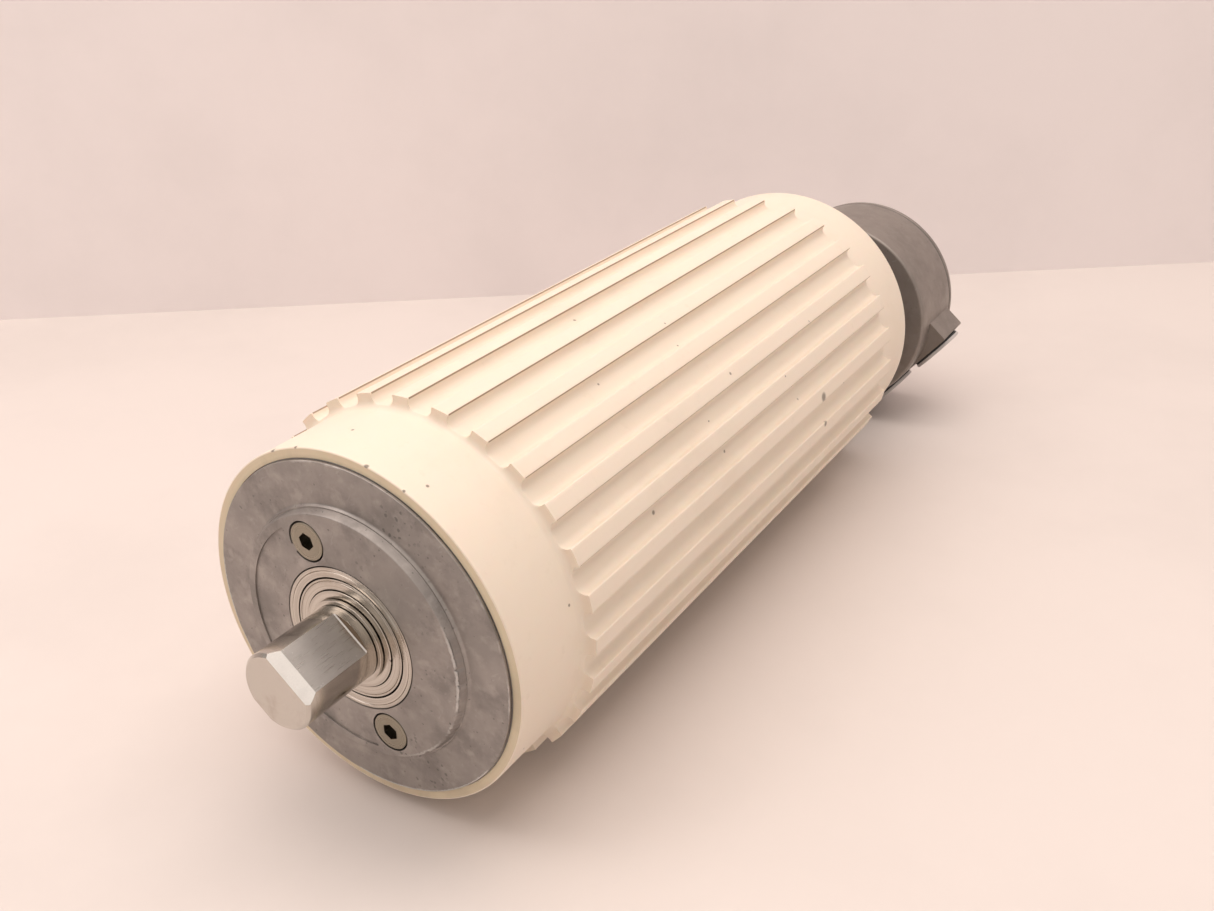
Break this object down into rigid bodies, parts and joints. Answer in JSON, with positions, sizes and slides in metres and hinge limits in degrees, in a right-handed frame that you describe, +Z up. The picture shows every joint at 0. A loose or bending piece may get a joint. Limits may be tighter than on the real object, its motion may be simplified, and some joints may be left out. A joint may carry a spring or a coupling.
{
  "type": "drum motor",
  "caption": "Ribbed rubber-covered conveyor drum with its motor and gearing inside, flatted shaft ends and a round terminal box.",
  "frame": {"origin": "centre of the front shaft's end face", "axes": "+Y runs along the drum's axis from the front shaft end towards the terminal box, +Z is up with the roller lying on its ribs and the box leaning on one entry cap, +X is to the right seen from the front"},
  "size_m": [0.1312, 0.4134, 0.1291],
  "materials": {
    "cream_lagging": "smooth matt moulded rubber",
    "stainless_steel": "turned stainless steel",
    "cast_aluminium": "sand-cast aluminium with turned faces",
    "machined_steel": "ground and milled steel",
    "gear_steel": "hardened gear steel",
    "lamination_steel": "stacked electrical steel",
    "enamelled_copper": "varnished copper",
    "black_rubber": "matt black rubber",
    "grey_plastic": "moulded grey plastic",
    "brass": "machined brass"
  },
  "bodies": {
    "fixed_shafts": {"carrier_screw_1": "machined_steel", "carrier_screw_2": "machined_steel", "carrier_screw_3": "machined_steel", "earth_screw": "brass", "entry_cap_1": "grey_plastic", "entry_cap_2": "grey_plastic", "front_bearing_inner_race": "machined_steel", "front_circlip": "machined_steel", "front_coil_head": "enamelled_copper", "front_collar": "stainless_steel", "front_deflector": "stainless_steel", "front_shaft": "machined_steel", "gear_carrier": "cast_aluminium", "lid_gasket": "black_rubber", "lid_screw_1": "stainless_steel", "lid_screw_2": "stainless_steel", "lid_screw_3": "stainless_steel", "lid_screw_4": "stainless_steel", "motor_flange": "cast_aluminium", "motor_leads": "black_rubber", "motor_sleeve": "cast_aluminium", "neck_nut": "machined_steel", "rear_bearing_inner_race": "machined_steel", "rear_circlip": "machined_steel", "rear_coil_head": "enamelled_copper", "rear_collar": "stainless_steel", "rear_deflector": "stainless_steel", "rear_shaft": "machined_steel", "rotor_front_bearing": "machined_steel", "rotor_rear_bearing": "machined_steel", "stator_core": "lamination_steel", "terminal_block": "grey_plastic", "terminal_box_body": "cast_aluminium", "terminal_box_lid": "cast_aluminium"},
    "drum": {"lagging": "cream_lagging", "drum_tube": "stainless_steel", "front_end_housing": "cast_aluminium", "rear_end_housing": "cast_aluminium", "oil_plug_1": "machined_steel", "oil_plug_2": "machined_steel", "oil_plug_washer_1": "enamelled_copper", "oil_plug_washer_2": "enamelled_copper", "front_seal_case": "stainless_steel", "rear_seal_case": "stainless_steel", "front_lip_seal": "black_rubber", "rear_lip_seal": "black_rubber", "front_bearing_outer_race": "machined_steel", "rear_bearing_outer_race": "machined_steel", "ring_gear": "gear_steel"},
    "rotor": {"rotor_shaft": "gear_steel", "rotor_pinion": "gear_steel", "rotor_core": "lamination_steel", "rotor_front_end_ring": "cast_aluminium", "rotor_rear_end_ring": "cast_aluminium"},
    "layshaft_group": {"layshaft": "gear_steel", "layshaft_wheel": "gear_steel"},
    "front_cage": {"front_bearing_cage": "brass"},
    "rear_cage": {"rear_bearing_cage": "brass"}
  },
  "joints": [
    {"name": "drum_spin", "type": "hinge", "parent": "fixed_shafts", "child": "drum", "pos_m": [0, 0.034, 0], "axis": [0, 1, 0], "continuous": true},
    {"name": "rotor_spin", "type": "hinge", "parent": "fixed_shafts", "child": "rotor", "pos_m": [0, 0.15, 0], "axis": [0, 1, 0], "continuous": true},
    {"name": "layshaft_spin", "type": "hinge", "parent": "fixed_shafts", "child": "layshaft_group", "pos_m": [0, 0.08, 0.026], "axis": [0, 1, 0], "continuous": true},
    {"name": "front_cage_spin", "type": "hinge", "parent": "fixed_shafts", "child": "front_cage", "pos_m": [0, 0.0455, 0], "axis": [0, 1, 0], "continuous": true},
    {"name": "rear_cage_spin", "type": "hinge", "parent": "fixed_shafts", "child": "rear_cage", "pos_m": [0, 0.3235, 0], "axis": [0, 1, 0], "continuous": true}
  ],
  "couplings": [
    {"joint": "rotor_spin", "follows": "drum_spin", "ratio": -11.536},
    {"joint": "layshaft_spin", "follows": "drum_spin", "ratio": 4.25},
    {"joint": "front_cage_spin", "follows": "drum_spin", "ratio": 0.5593},
    {"joint": "rear_cage_spin", "follows": "drum_spin", "ratio": 0.5593}
  ]
}
